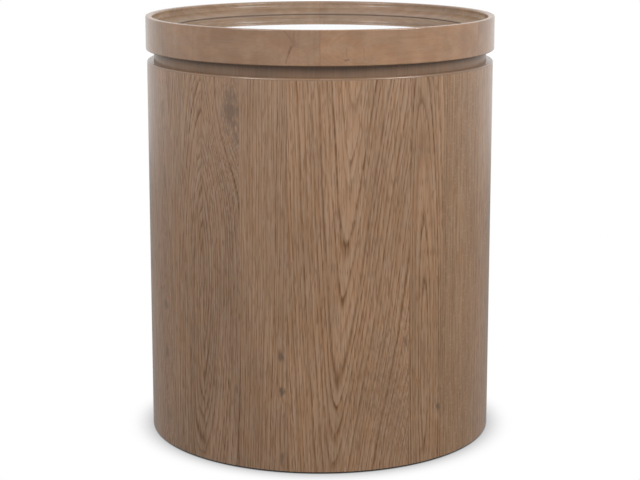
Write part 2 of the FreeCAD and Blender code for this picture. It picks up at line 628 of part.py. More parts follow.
for index in range(int(value("Sizes.leveler_count"))):
    foot = new_body(f"leveler_foot_{index + 1}")
    turn_profile(foot, [
        ("0", "0"),
        ("(Sizes.foot_diameter / 2)", "0"),
        ("(Sizes.foot_diameter / 2)", "Sizes.foot_skirt"),
        ("(Sizes.foot_top_diameter / 2)", "Sizes.foot_height"),
        (SOCKET_MOUTH, "Sizes.foot_height"),
        (SOCKET_MOUTH, SOCKET_TOP),
        (SOCKET_RADIUS, SOCKET_TOP),
        (SOCKET_RADIUS, "Sizes.foot_floor"),
        ("0", "Sizes.foot_floor"),
    ])
    place_leveler(foot, index)
    nodes.append(foot)

    stem = new_body(f"leveler_stem_{index + 1}")
    turn_profile(stem, [
        ("0", SWIVEL_BOTTOM),
        (SWIVEL_RADIUS, SWIVEL_BOTTOM),
        (SWIVEL_RADIUS, SWIVEL_TOP),
        (STEM_RADIUS, SWIVEL_TOP),
        (STEM_RADIUS, f"({STEM_TOP} - Sizes.stem_tip)"),
        (f"({STEM_RADIUS} - Sizes.stem_tip)", STEM_TOP),
        ("0", STEM_TOP),
    ])
    collar_sketch = flat_sketch(stem, f"collar_outline_{index + 1}", COLLAR_BOTTOM)
    draw_outline(collar_sketch, [
        (f"({COLLAR_RADIUS} * cos({angle}))", f"({COLLAR_RADIUS} * sin({angle}))") for angle in HEXAGON_ANGLES])
    collar = stem.newObject("PartDesign::Pad", f"collar_{index + 1}")
    collar.Profile = collar_sketch
    collar.setExpression("Length", "Sizes.collar_height")
    stem.Tip = collar
    place_leveler(stem, index)
    nodes.append(stem)

# Face veneer: leaves of uneven width laid edge to edge round the shell, grain upright
leaf_shares = [f"Sizes.{alias}" for alias in SIZES if alias.startswith("leaf_") and alias.endswith("_share")]
all_leaves = " + ".join(leaf_shares)
leaf_start = "Sizes.leaf_turn"
seam = arc_angle("Sizes.joint_gap", DRUM_RADIUS)
for index, share in enumerate(leaf_shares, start=1):
    arc = f"({FULL_TURN} * {share} / ({all_leaves}))"
    leaf = new_body(f"veneer_leaf_{index:02d}")
    turn_profile(leaf, rectangle(f"({DRUM_RADIUS} - Sizes.veneer_thickness)", DRUM_RADIUS,
                                 "Sizes.drum_lift", SHELL_TOP), f"{arc} - {seam}")
    turn_to(leaf, f"{leaf_start} + {seam} / 2")
    leaf_start = f"{leaf_start} + {arc}"
    nodes.append(leaf)

# Check and write every piece
doc.recompute()
for piece in doc.Objects:
    if "Invalid" in piece.State or "Error" in piece.State:
        raise RuntimeError(f"{piece.Label} failed: {piece.State}")
for piece in nodes:
    if piece.Shape.isNull() or not piece.Shape.isValid() or not piece.Shape.Solids:
        raise RuntimeError(f"{piece.Label} has no valid solid")
os.makedirs("parts", exist_ok=True)
for piece in nodes:
    piece.Shape.exportStep(f"parts/{piece.Label}.step")
    print(piece.Label, len(piece.Shape.Solids), round(piece.Shape.Volume))
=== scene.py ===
import math

import bpy
import numpy as np
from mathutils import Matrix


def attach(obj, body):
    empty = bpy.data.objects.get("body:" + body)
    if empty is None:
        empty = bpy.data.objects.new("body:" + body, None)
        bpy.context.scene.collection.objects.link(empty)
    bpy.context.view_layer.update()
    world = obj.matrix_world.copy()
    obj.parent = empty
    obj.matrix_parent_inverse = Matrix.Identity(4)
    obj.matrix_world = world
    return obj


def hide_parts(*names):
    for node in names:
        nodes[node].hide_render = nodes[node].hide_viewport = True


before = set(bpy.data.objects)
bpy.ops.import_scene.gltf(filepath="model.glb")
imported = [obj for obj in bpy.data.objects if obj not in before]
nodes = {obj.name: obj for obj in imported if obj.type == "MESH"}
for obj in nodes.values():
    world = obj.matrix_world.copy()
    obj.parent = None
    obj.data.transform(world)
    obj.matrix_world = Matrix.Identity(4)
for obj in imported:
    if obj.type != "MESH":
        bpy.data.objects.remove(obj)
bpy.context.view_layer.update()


# Levelling pads: four black nylon mouldings that stand on the floor and hold the steel stems in a
# socket. They keep the fine grain of the mould, and the floor has scuffed them a little.
def shader_node(tree, kind, settings=None, **sockets):
    """Add one shader node. settings are the node's own properties; a socket takes a value or
    another node's output, and is named with underscores for spaces or by its number after an
    underscore."""
    made = tree.nodes.new("ShaderNode" + kind)
    for key, setting in (settings or {}).items():
        setattr(made, key, setting)
    for key, source in sockets.items():
        socket = made.inputs[int(key[1:]) if key[0] == "_" else key.replace("_", " ")]
        if isinstance(source, bpy.types.NodeSocket):
            tree.links.new(source, socket)
        else:
            socket.default_value = source
    return made


def numbered(terms):
    """Terms for a node's sockets, each named by its number."""
    return {f"_{number}": term for number, term in enumerate(terms)}


def sums(tree, operation, *terms):
    """One arithmetic step on values or outputs, and its result."""
    return shader_node(tree, "Math", {"operation": operation}, **numbered(terms)).outputs[0]


def vector_sums(tree, operation, *terms, **scale):
    """One step on vectors, and its result as a vector."""
    step = {"operation": operation}
    return shader_node(tree, "VectorMath", step, **numbered(terms), **scale).outputs[0]


def vector_value(tree, operation, *terms):
    """One step on vectors that gives a plain value, such as a length or a dot product."""
    return shader_node(tree, "VectorMath", {"operation": operation}, **numbered(terms)).outputs[1]


def vector_parts(tree, vector):
    """The three parts of a vector."""
    return shader_node(tree, "SeparateXYZ", Vector=vector).outputs


def soft_step(tree, amount, low, high):
    """A smooth rise from 0 at low to 1 at high, or a fall where low is the larger."""
    return shader_node(tree, "MapRange", {"interpolation_type": "SMOOTHSTEP"}, Value=amount,
                       From_Min=low, From_Max=high).outputs[0]


def between(tree, share, start, end):
    """A value that goes evenly from start to end as share goes from 0 to 1."""
    return sums(tree, "MULTIPLY_ADD", share, end - start, start)


def speckle(tree, place, scale, detail=2.0):
    """Cloudy noise of about 0 to 1 round a half, finer as scale grows."""
    return shader_node(tree, "TexNoise", Vector=place, Scale=scale, Detail=detail).outputs[0]


def blend_colours(tree, share, first, second, mode="MIX"):
    """first turning into second, or worked on by it, as share goes from 0 to 1."""
    mix = shader_node(tree, "Mix", {"data_type": "RGBA", "blend_type": mode},
                      _0=share, _6=first, _7=second)
    return mix.outputs[2]


def paint(red, green, blue):
    """A colour written as on a screen, 0 to 255, turned into the linear light that a shader works
    in, by the screen's own curve: a short straight foot and then a power of 2.4."""
    screen = np.array((red, green, blue)) / 255
    low = screen / 12.92
    high = ((screen + 0.055) / 1.055) ** 2.4
    return (*np.where(screen <= 0.04045, low, high), 1.0)


def new_finish(name):
    """An empty material, its tree, its surface shader and the piece's own coordinates."""
    finish = bpy.data.materials.new(name)
    finish.use_nodes = True
    tree = finish.node_tree
    tree.nodes.clear()
    surface = shader_node(tree, "BsdfPrincipled")
    shader_node(tree, "OutputMaterial", Surface=surface.outputs[0])
    return finish, tree, surface, shader_node(tree, "TexCoord").outputs["Object"]


def lay_on(tree, surface, colour, roughness):
    """Lead a colour and a roughness to the surface shader."""
    tree.links.new(colour, surface.inputs["Base Color"])
    tree.links.new(roughness, surface.inputs["Roughness"])


def relief(tree, surface, height, depth):
    """Raise and sink the surface's shading by height, at this depth in metres."""
    bump = shader_node(tree, "Bump", Height=height, Distance=depth, Strength=1.0)
    tree.links.new(bump.outputs[0], surface.inputs["Normal"])


def dress(finish, *names):
    """Give CAD nodes this finish."""
    for name in names:
        nodes[name].data.materials.clear()
        nodes[name].data.materials.append(finish)


quarters = range(1, 5)
nylon_black, nylon_scuffed = paint(33, 33, 34), paint(58, 57, 55)
mould_scale, mould_depth, scuff_scale = 2600.0, 0.00012, 90.0
nylon, tree, surface, place = new_finish("moulded_nylon")
mould_grain = speckle(tree, place, mould_scale, detail=3.0)
scuffs = soft_step(tree, speckle(tree, place, scuff_scale, detail=4.0), low=0.55, high=0.72)
lay_on(tree, surface, colour=blend_colours(tree, scuffs, nylon_black, nylon_scuffed),
       roughness=between(tree, mould_grain, start=0.42, end=0.67))
relief(tree, surface, mould_grain, mould_depth)
dress(nylon, *(f"leveler_foot_{quarter}" for quarter in quarters))

# Levelling stems: steel studs that swivel in the pads and screw down out of the base, 1.25 mm a
# turn. Each has a disc that the pad holds, a hexagon for a spanner and a rolled thread, all zinc
# plated.
zinc_bright, zinc_bloom, bloom_scale = paint(190, 193, 197), paint(158, 160, 160), 160.0
zinc, tree, surface, place = new_finish("zinc_plate")
bloom = soft_step(tree, speckle(tree, place, bloom_scale, detail=4.0), low=0.4, high=0.7)
lay_on(tree, surface, colour=blend_colours(tree, bloom, zinc_bright, zinc_bloom),
       roughness=between(tree, bloom, start=0.24, end=0.44))
surface.inputs["Metallic"].default_value = 1.0
turn_steps = 48
turn = np.linspace(0, 2 * math.pi, turn_steps, endpoint=False)


def turned_rows(*rows):
    """Rows of a turning from pairs of radius and height; a radius is one value or one for each step
    round."""
    radius = np.stack([np.broadcast_to(spread, turn_steps) for spread, _ in rows])
    height = np.broadcast_to(np.array([rise for _, rise in rows])[:, None], radius.shape)
    return np.stack((radius * np.cos(turn), radius * np.sin(turn), height), axis=2)


def closed_turning(name, spots, centres, finish):
    """A grid of points, rows by steps round, as a closed skin: each step joins the next, and the
    first and the last row draw in to one point each. One copy stands on each centre, a pair of
    across and back. Edges that bend more than the crease angle stay sharp."""
    crease = math.radians(35)
    rings = spots[1:-1].reshape(-1, 3)
    here = np.arange(turn_steps)
    beside = (here + 1) % turn_steps
    level = np.arange(len(spots) - 3)[:, None] * turn_steps
    above = level + turn_steps
    quads = np.stack((level + here, level + beside, above + beside, above + here), axis=2)
    first, last, top = len(rings), len(rings) + 1, len(rings) - turn_steps
    low_fan = np.stack((np.full(turn_steps, first), beside, here), axis=1)
    high_fan = np.stack((np.full(turn_steps, last), top + here, top + beside), axis=1)
    skin = np.concatenate((rings, spots[0, :1], spots[-1, :1]))
    points, faces = [], []
    for copy, (across, back) in enumerate(centres):
        points += (skin + (across, back, 0)).tolist()
        for part in (quads.reshape(-1, 4), low_fan, high_fan):
            faces += (part + copy * len(skin)).tolist()
    mesh = bpy.data.meshes.new(name)
    mesh.from_pydata(points, [], faces)
    mesh.shade_smooth()
    mesh.set_sharp_from_angle(angle=crease)
    mesh.materials.append(finish)
    piece = bpy.data.objects.new(name, mesh)
    bpy.context.scene.collection.objects.link(piece)
    return piece


leveler_ring, first_bearing, quarter_turn = 0.1896, math.radians(45), math.radians(90)
stem_radius, stem_top, stem_tip = 0.004, 0.0423, 0.001
swivel_radius, swivel_foot, swivel_top, swivel_ease = 0.0065, 0.0025, 0.0045, 0.0003
collar_half, collar_foot, collar_top, collar_ease = 0.0065, 0.0073, 0.0123, 0.0005
eased_corner, sixth_turn = 1.03, math.pi / 3
pitch, thread_depth, thread_slope, rows_a_turn = 0.00125, 0.00072, 1.25, 8
hexagon = collar_half / np.cos(turn % sixth_turn - sixth_turn / 2)
eased_hexagon = np.minimum(hexagon, collar_half * eased_corner)
climb = np.linspace(collar_top, stem_top, round((stem_top - collar_top) / pitch * rows_a_turn))
# Height of the thread's flank at each row and step: 0 in the root, 1 on the crest, one pitch a turn
way_up = (climb[:, None] / pitch - turn / (2 * math.pi)) % 1
flank = np.clip(thread_slope * np.abs(2 * way_up - 1) - (thread_slope - 1) / 2, 0, 1)
pointed_end = (stem_radius - stem_tip + stem_top - climb)[:, None]
thread = np.minimum(stem_radius - thread_depth * (1 - flank), pointed_end)
stem_spots = turned_rows(
    (0, swivel_foot), (swivel_radius - swivel_ease, swivel_foot),
    (swivel_radius, swivel_foot + swivel_ease), (swivel_radius, swivel_top - swivel_ease),
    (swivel_radius - swivel_ease, swivel_top), (stem_radius, swivel_top),
    (stem_radius, collar_foot), (eased_hexagon, collar_foot), (hexagon, collar_foot + collar_ease),
    (hexagon, collar_top - collar_ease), (eased_hexagon, collar_top),
    *zip(thread, climb), (0, stem_top))
for quarter in quarters:
    bearing = first_bearing + quarter_turn * (quarter - 1)
    centre = (leveler_ring * math.cos(bearing), leveler_ring * math.sin(bearing))
    stem = closed_turning(f"threaded_stem_{quarter}", stem_spots, [centre], zinc)
    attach(stem, f"leveler_stem_{quarter}")
    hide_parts(f"leveler_stem_{quarter}")

# Screws and tee nuts: countersunk wood screws with a cross recess, up through the base, and pressed
# steel nuts. The base's screw heads show from below; the tray's screws and the nuts keep their CAD
# shape.
screw_count, screw_ring, screw_start = 8, 0.2216, math.radians(22.5)
screw_foot, screw_top, screw_point, shank_radius = 0.0142, 0.0402, 0.004, 0.00225
head_radius, head_rows = 0.00425, 16
arm_half, arm_reach, recess_wall, recess_depth = 0.0006, 0.0024, 0.0005, 0.0017
reach = np.linspace(0, head_radius, head_rows)[:, None]
side_way, end_way = np.abs(reach * np.cos(turn)), np.abs(reach * np.sin(turn))
# Depth of the cross at each point of the head: full inside the arms, gone past their sides and ends
within_sides = np.clip((arm_half + recess_wall - np.minimum(side_way, end_way)) / recess_wall, 0, 1)
within_ends = np.clip((arm_reach - np.maximum(side_way, end_way)) / recess_wall, 0, 1)
screw_spots = np.concatenate((
    turned_rows(*((spread, screw_foot) for spread in reach)),
    turned_rows((shank_radius, screw_foot + head_radius - shank_radius),
                (shank_radius, screw_top - screw_point), (0, screw_top))))
screw_spots[:head_rows, :, 2] += recess_depth * within_sides * within_ends
screw_bearings = screw_start + np.arange(screw_count) * 2 * math.pi / screw_count
screw_centres = screw_ring * np.stack((np.cos(screw_bearings), np.sin(screw_bearings)), axis=1)
screws = closed_turning("countersunk_screws", screw_spots, screw_centres, zinc)
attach(screws, "table")
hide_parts("base_screws")
dress(zinc, "tee_nuts", "top_screws")

# Plywood carcass: the bent shell, the rings inside it, the base and tray panels and the neck ring.
# Raw birch ply: pale faces with a faint figure, and thin dark glue lines on the cut edges.
birch_pale, birch_figure, ply_glue = paint(214, 186, 148), paint(190, 158, 118), paint(128, 96, 66)
ply_thickness, ply_relief, ply_scale, glue_share = 0.0015, 0.0002, 140.0, 0.35
along_the_ply = (1.0, 0.06, 1.0)
plywood, tree, surface, place = new_finish("birch_plywood")
ply_rise = sums(tree, "DIVIDE", vector_parts(tree, place)[2], ply_thickness)
ply_line = soft_step(tree, sums(tree, "PINGPONG", ply_rise, 1.0), low=0.82, high=0.98)
ply_place = vector_sums(tree, "MULTIPLY", place, along_the_ply)
ply_grain = speckle(tree, ply_place, ply_scale, detail=4.0)
ply_colour = blend_colours(tree, soft_step(tree, ply_grain, low=0.35, high=0.7),
                           birch_pale, birch_figure)
ply_colour = blend_colours(tree, sums(tree, "MULTIPLY", ply_line, glue_share), ply_colour, ply_glue)
lay_on(tree, surface, ply_colour, roughness=between(tree, ply_grain, start=0.5, end=0.7))
relief(tree, surface, ply_grain, ply_relief)
dress(plywood, "base_panel", "bottom_former", "mid_former", "top_former", "tray_panel", "neck_ring",
      *(f"shell_panel_{quarter}" for quarter in quarters))

# Beech inside the carcass: battens behind the shell's joints, splines in them, loose tenons in the
# rim. Planed and unfinished, pinkish with fine short dark flecks along the grain.
beech_pink, beech_brown = paint(206, 168, 132), paint(184, 143, 106)
fleck_brown, fleck_share, fleck_scale = paint(140, 100, 70), 0.5, 900.0
beech_scale, along_the_beech = 60.0, (1.0, 1.0, 0.12)
beech, tree, surface, place = new_finish("planed_beech")
beech_place = vector_sums(tree, "MULTIPLY", place, along_the_beech)
fleck = soft_step(tree, speckle(tree, beech_place, fleck_scale), low=0.58, high=0.7)
beech_colour = blend_colours(tree, speckle(tree, beech_place, beech_scale, detail=3.0),
                             beech_pink, beech_brown)
beech_colour = blend_colours(tree, sums(tree, "MULTIPLY", fleck, fleck_share),
                             beech_colour, fleck_brown)
lay_on(tree, surface, beech_colour, roughness=between(tree, fleck, start=0.5, end=0.65))
dress(beech, "shell_splines", "rim_tenons", *(f"batten_{quarter}" for quarter in quarters))


# Face veneer of the drum: twelve oak leaves of uneven width, laid edge to edge with the grain
# upright. Flat-sliced leaves show crowns and knots, quarter-sliced ones run straight; all lie under
# a satin lacquer.
def eased_outline(corners, rounds, steps=5):
    """Closed outline of radius and height with eased corners. Each corner turns into an arc that
    touches both its edges: its centre lies on the corner's bisector, and its points swing evenly
    between the two touching points. Returns the points and their outward normals."""
    corner = np.array(corners, float)
    size = np.array(rounds, float)[:, None]
    back = np.roll(corner, 1, axis=0) - corner
    ahead = np.roll(corner, -1, axis=0) - corner
    back /= np.linalg.norm(back, axis=1, keepdims=True)
    ahead /= np.linalg.norm(ahead, axis=1, keepdims=True)
    half = np.arccos(np.clip((back * ahead).sum(1, keepdims=True), -1, 1)) / 2
    bisector = back + ahead
    bisector /= np.linalg.norm(bisector, axis=1, keepdims=True)
    centre = corner + bisector * size / np.sin(half)
    first = (corner + back * size / np.tan(half) - centre) / size
    last = (corner + ahead * size / np.tan(half) - centre) / size
    swing = np.pi - 2 * half
    share = np.linspace(0, 1, steps)[None, :]
    away = (np.sin((1 - share) * swing)[..., None] * first[:, None]
            + np.sin(share * swing)[..., None] * last[:, None]) / np.sin(swing)[..., None]
    bend = back[:, 0] * ahead[:, 1] - back[:, 1] * ahead[:, 0]
    outward = np.where(bend[:, None, None] < 0, away, -away)
    points = centre[:, None] + size[:, None] * away
    return points.reshape(-1, 2), outward.reshape(-1, 2)


full_turn, station_arc, closing_gap = 2 * math.pi, math.radians(0.75), 1e-6


def turned_piece(name, outline, start, arc, finish):
    """A closed outline of radius and height carried round the upright axis, from an angle through
    an arc, both measured from the front towards the right. A full turn closes on itself; a shorter
    one gets flat ends. The map called grain holds arc length at the widest radius, and length along
    the outline."""
    points, outward = outline
    whole = arc > full_turn - closing_gap
    stations = max(2, math.ceil(arc / station_arc)) + 1
    angle = start + np.linspace(0, arc, stations)
    sine, cosine = np.sin(angle)[:, None], -np.cos(angle)[:, None]
    count = len(points)
    spots = np.stack((sine * points[:, 0], cosine * points[:, 0],
                      np.broadcast_to(points[:, 1], (stations, count))), axis=2)
    facing = np.stack((sine * outward[:, 0], cosine * outward[:, 0],
                       np.broadcast_to(outward[:, 1], (stations, count))), axis=2)
    rings = stations - 1 if whole else stations
    station, step = np.meshgrid(np.arange(stations - 1), np.arange(count), indexing="ij")
    follow, beyond = (station + 1) % rings, (step + 1) % count
    quads = np.stack((station * count + step, follow * count + step,
                      follow * count + beyond, station * count + beyond), axis=2).reshape(-1, 4)
    edge_lengths = np.linalg.norm(np.diff(points, axis=0, append=points[:1]), axis=1)
    run = np.concatenate(([0], np.cumsum(edge_lengths)))
    wide = points[:, 0].max()
    sweep = angle * wide
    here, there = sweep[station], sweep[station + 1]
    across = np.stack((here, there, there, here), axis=2)
    low, high = run[step], run[step + 1]
    along = np.stack((low, low, high, high), axis=2)
    flat_map = np.stack((across, along), axis=3).reshape(-1, 2)
    loop_normals = facing[np.stack((station, station + 1, station + 1, station), axis=2),
                          np.stack((step, step, beyond, beyond), axis=2)].reshape(-1, 3)
    faces = quads.tolist()
    if not whole:
        ends = (np.arange(count), (stations - 1) * count + np.arange(count)[::-1])
        faces += [end.tolist() for end in ends]
        end_facing = np.array(((-np.cos(start), -np.sin(start), 0),
                               (np.cos(start + arc), np.sin(start + arc), 0)))
        end_map = np.stack((sweep[0] - wide + points[:, 0], points[:, 1]), axis=1)
        flat_map = np.concatenate((flat_map, end_map, (end_map + (arc * wide, 0))[::-1]))
        loop_normals = np.concatenate((loop_normals, np.repeat(end_facing, count, axis=0)))
    mesh = bpy.data.meshes.new(name)
    mesh.from_pydata(spots[:rings].reshape(-1, 3).tolist(), [], faces)
    mesh.uv_layers.new(name="grain").data.foreach_set("uv", flat_map.astype(np.float32).ravel())
    mesh.shade_smooth()
    mesh.normals_split_custom_set(loop_normals.tolist())
    mesh.materials.append(finish)
    piece = bpy.data.objects.new(name, mesh)
    bpy.context.scene.collection.objects.link(piece)
    return piece


def new_group(name, inputs, outputs):
    """An empty node group with named sockets. What a socket starts with says its kind: a number,
    three numbers for a vector or four for a colour. Returns the group and what is given to it."""
    group = bpy.data.node_groups.new(name, "ShaderNodeTree")
    kinds = {1: "NodeSocketFloat", 3: "NodeSocketVector", 4: "NodeSocketColor"}
    for way, sockets in (("INPUT", inputs), ("OUTPUT", outputs)):
        for label, start in sockets.items():
            kind = kinds[np.size(start)]
            socket = group.interface.new_socket(name=label, in_out=way, socket_type=kind)
            socket.default_value = start
    return group, group.nodes.new("NodeGroupInput").outputs


def close_group(group, results):
    """Lead the results to the group's outputs."""
    made = group.nodes.new("NodeGroupOutput")
    for label, result in results.items():
        group.links.new(result, made.inputs[label])
    return group


def placed_group(tree, group, **sockets):
    """Put a node group into a material with its own values, and give what comes out."""
    return shader_node(tree, "Group", {"node_tree": group}, **sockets).outputs


no_way, no_colour = (0.0, 0.0, 0.0), (0.0, 0.0, 0.0, 1.0)


def oak_grain_group():
    """Figure of sawn oak in a vector of across, depth and along the grain, in metres. Yearly rings
    lie round a heart that drifts across and tilts into the leaf: ring number = (distance from the
    heart + taper * way along) / ring width, with uneven widths. Pores crowd at the start of each
    ring and break up into dashes."""
    seed_step, middle_grey = (1.37, 2.11, 0.73), (0.5, 0.5, 0.5)
    fine_wander, uneven_scale, unevenness = 0.0020, 0.4, 2.2
    ring_start, pores_end, early_end = 0.15, 0.55, 0.9
    stray_share, ray_squash = 0.5, 2.2
    group, given = new_group("oak_grain", {
        "Vector": no_way, "Heart Across": 0.0, "Heart Along": 0.3, "Heart Depth": 0.05,
        "Drift": 0.0, "Tilt": 0.0, "Taper": 0.0, "Ring Width": 0.005, "Wander": 0.01, "Seed": 0.0,
    }, {"Early": 0.0, "Pores": 0.0, "Fibre": 0.0, "Rays": 0.0, "Tone": 0.0, "Blush": 0.0})
    spot = given["Vector"]
    seed = vector_sums(group, "SCALE", seed_step, Scale=given["Seed"])
    moved = vector_sums(group, "ADD", spot, seed)

    def stretched(length):
        """Place for a noise that comes out this many times as long as it is wide."""
        return vector_sums(group, "MULTIPLY", moved, (1.0, 1.0, 1 / length))

    def swayed(length, scale, detail, reach):
        """A wandering shift: noise of three parts, taken from its middle and scaled to reach."""
        sway = shader_node(group, "TexNoise", Vector=stretched(length), Scale=scale, Detail=detail)
        sway = vector_sums(group, "SUBTRACT", sway.outputs[1], middle_grey)
        return vector_sums(group, "SCALE", sway, Scale=reach)

    def streaks(length, scale, detail, low, high):
        """Streaks along the grain: stretched noise, clear below low and full above high."""
        return soft_step(group, speckle(group, stretched(length), scale, detail), low, high)

    wander = swayed(length=6.0, scale=12.0, detail=1.0, reach=given["Wander"])
    bent = vector_sums(group, "ADD", spot, wander)
    bent = vector_sums(group, "ADD", bent,
                       swayed(length=11.0, scale=120.0, detail=2.0, reach=fine_wander))
    parts = vector_parts(group, bent)
    rise = sums(group, "SUBTRACT", parts[2], given["Heart Along"])
    across = sums(group, "SUBTRACT", parts[0], given["Heart Across"])
    across = sums(group, "SUBTRACT", across, sums(group, "MULTIPLY", rise, given["Drift"]))
    sunk = sums(group, "MULTIPLY_ADD", rise, given["Tilt"], given["Heart Depth"])
    depth = sums(group, "ADD", parts[1], sunk)
    square = sums(group, "MULTIPLY_ADD", across, across, sums(group, "MULTIPLY", depth, depth))
    distance = sums(group, "MULTIPLY_ADD", rise, given["Taper"], sums(group, "SQRT", square))
    rings = sums(group, "DIVIDE", distance, given["Ring Width"])
    uneven = shader_node(group, "TexNoise", {"noise_dimensions": "1D"}, Scale=uneven_scale,
                         Detail=1.0, W=sums(group, "ADD", rings, given["Seed"])).outputs[0]
    rings = sums(group, "MULTIPLY_ADD", uneven, unevenness, rings)
    phase = sums(group, "FRACT", rings)
    weight = shader_node(group, "TexWhiteNoise", {"noise_dimensions": "1D"},
                         W=sums(group, "FLOOR", rings)).outputs[0]
    weight = between(group, weight, start=0.3, end=1.0)
    opening = soft_step(group, phase, 0.0, ring_start)
    early = sums(group, "MULTIPLY", opening, soft_step(group, phase, early_end, ring_start))
    line = sums(group, "MULTIPLY", opening, soft_step(group, phase, pores_end, ring_start))
    dash = streaks(length=11.0, scale=560.0, detail=1.0, low=0.36, high=0.62)
    pores = sums(group, "MULTIPLY", sums(group, "MULTIPLY", line, weight),
                 between(group, dash, start=0.25, end=1.05))
    stray = streaks(length=13.0, scale=640.0, detail=1.0, low=0.52, high=0.72)
    pores = sums(group, "MAXIMUM", pores, sums(group, "MULTIPLY", stray, stray_share))
    return close_group(group, {
        "Early": early, "Pores": pores,
        "Fibre": streaks(length=40.0, scale=560.0, detail=2.0, low=0.38, high=0.62),
        "Rays": streaks(length=1 / ray_squash, scale=170.0, detail=2.0, low=0.54, high=0.7),
        "Tone": streaks(length=5.0, scale=22.0, detail=3.0, low=0.3, high=0.7),
        "Blush": streaks(length=3.0, scale=95.0, detail=1.0, low=0.3, high=0.7)})


def knot_group():
    """A knot in a vector of across, depth and along: the grain swells round it, as depth + swell *
    the bell curve of the distance, its core is dark and the wood close by is bare of pores. The
    distance is counted in the knot's own width and length. Core and Bare pass on those of the knots
    before."""
    swell_fall, bare_fall = -0.11, -0.4
    ragged_scale, along_the_knot, core_edge, core_full = 330.0, (1.0, 1.0, 0.3), 1.5, 0.2
    group, given = new_group("oak_knot", {
        "Vector": no_way, "Core": 0.0, "Bare": 0.0, "Across": 0.0, "Along": 0.3,
        "Width": 0.006, "Length": 0.012, "Swell": 0.01, "Dark": 0.8,
    }, {"Vector": no_way, "Core": 0.0, "Bare": 0.0})
    parts = vector_parts(group, given["Vector"])
    side = sums(group, "DIVIDE", sums(group, "SUBTRACT", parts[0], given["Across"]), given["Width"])
    rise = sums(group, "DIVIDE", sums(group, "SUBTRACT", parts[2], given["Along"]), given["Length"])
    square = sums(group, "MULTIPLY_ADD", side, side, sums(group, "MULTIPLY", rise, rise))
    wide_bell = sums(group, "EXPONENT", sums(group, "MULTIPLY", square, swell_fall))
    depth = sums(group, "MULTIPLY_ADD", wide_bell, given["Swell"], parts[1])
    smudge = vector_sums(group, "MULTIPLY", given["Vector"], along_the_knot)
    ragged = between(group, speckle(group, smudge, ragged_scale, detail=3.0), start=-1.5, end=1.5)
    ragged_way = sums(group, "ADD", sums(group, "SQRT", square), ragged)
    core = soft_step(group, ragged_way, core_edge, core_full)
    core = sums(group, "MULTIPLY", core, given["Dark"])
    bare = sums(group, "EXPONENT", sums(group, "MULTIPLY", square, bare_fall))
    bare = sums(group, "MULTIPLY", bare, given["Dark"])
    return close_group(group, {
        "Vector": shader_node(group, "CombineXYZ", X=parts[0], Y=depth, Z=parts[2]).outputs[0],
        "Core": sums(group, "MAXIMUM", given["Core"], core),
        "Bare": sums(group, "MAXIMUM", given["Bare"], bare)})


def lacquered_oak_group():
    """Colour, roughness and open pores of lacquered oak from its figure. Shade is the latewood;
    earlywood and fibres are darker, pores darkest, rays a little paler, knots a soft grey brown.
    Each tint is a share of red, green and blue. The shares given say how much of the pores, the
    rays and the rest of the figure shows."""
    tone_low, tone_high, blush_tint = (0.935,) * 3, (1.115,) * 3, (1.02, 0.96, 0.90)
    fibre_tint, early_tint, early_share = (0.84, 0.77, 0.67), (0.71, 0.61, 0.46), 0.3
    ray_tint, knot_tint = (1.286, 1.252, 1.181), (0.36, 0.34, 0.33)
    pore_tint = (0.300, 0.160, 0.030)
    group, given = new_group("lacquered_oak", {
        "Shade": no_colour, "Early": 0.0, "Pores": 0.0, "Fibre": 0.0, "Rays": 0.0, "Tone": 0.0,
        "Blush": 0.0, "Core": 0.0, "Bare": 0.0,
        "Pore Share": 1.0, "Ray Share": 0.0, "Figure Share": 1.0,
    }, {"Colour": no_colour, "Roughness": 0.0, "Height": 0.0})

    def tinted(colour, share, tint):
        """The colour multiplied by a tint where share is 1."""
        return blend_colours(group, share, colour, (*tint, 1.0), "MULTIPLY")

    def shaded(tint):
        """The latewood's shade in this tint."""
        return tinted(given["Shade"], 1.0, tint)

    colour = blend_colours(group, given["Tone"], shaded(tone_low), shaded(tone_high))
    colour = tinted(colour, given["Blush"], blush_tint)
    fibre = sums(group, "MULTIPLY", given["Fibre"], given["Figure Share"])
    colour = tinted(colour, fibre, fibre_tint)
    early = sums(group, "MULTIPLY", sums(group, "MULTIPLY", given["Early"], early_share),
                 given["Figure Share"])
    colour = tinted(colour, early, early_tint)
    rays = sums(group, "MULTIPLY", given["Rays"], given["Ray Share"])
    colour = blend_colours(group, rays, colour, shaded(ray_tint))
    dark = sums(group, "MULTIPLY", given["Pores"], given["Pore Share"])
    dark = sums(group, "MULTIPLY", dark, sums(group, "SUBTRACT", 1.0, given["Bare"]))
    colour = blend_colours(group, dark, colour, shaded(pore_tint))
    colour = blend_colours(group, given["Core"], colour, shaded(knot_tint))
    return close_group(group, {"Colour": colour,
                               "Roughness": between(group, dark, start=0.45, end=0.65),
                               "Height": sums(group, "MULTIPLY", dark, -1.0)})


oak_grain, oak_knot, lacquered_oak = oak_grain_group(), knot_group(), lacquered_oak_group()
pore_depth = 0.00015


def lacquer_oak(tree, surface, grain, shade, gloss, blur, **shares):
    """Put oak of this shade under a clear coat on a surface shader, and give its colour. shares are
    the lacquered oak's other inputs."""
    figure = {outlet.name: outlet for outlet in grain}
    oak = placed_group(tree, lacquered_oak, Shade=paint(*shade), **figure, **shares)
    lay_on(tree, surface, oak["Colour"], oak["Roughness"])
    surface.inputs["Specular IOR Level"].default_value = 0.0
    surface.inputs["Coat Weight"].default_value = gloss
    surface.inputs["Coat Roughness"].default_value = blur
    relief(tree, surface, oak["Height"], pore_depth)
    return oak["Colour"]


def grain_map(tree):
    """The piece's own map: arc length round the table, and length along the outline."""
    return vector_parts(tree, shader_node(tree, "UVMap", {"uv_map": "grain"}).outputs[0])


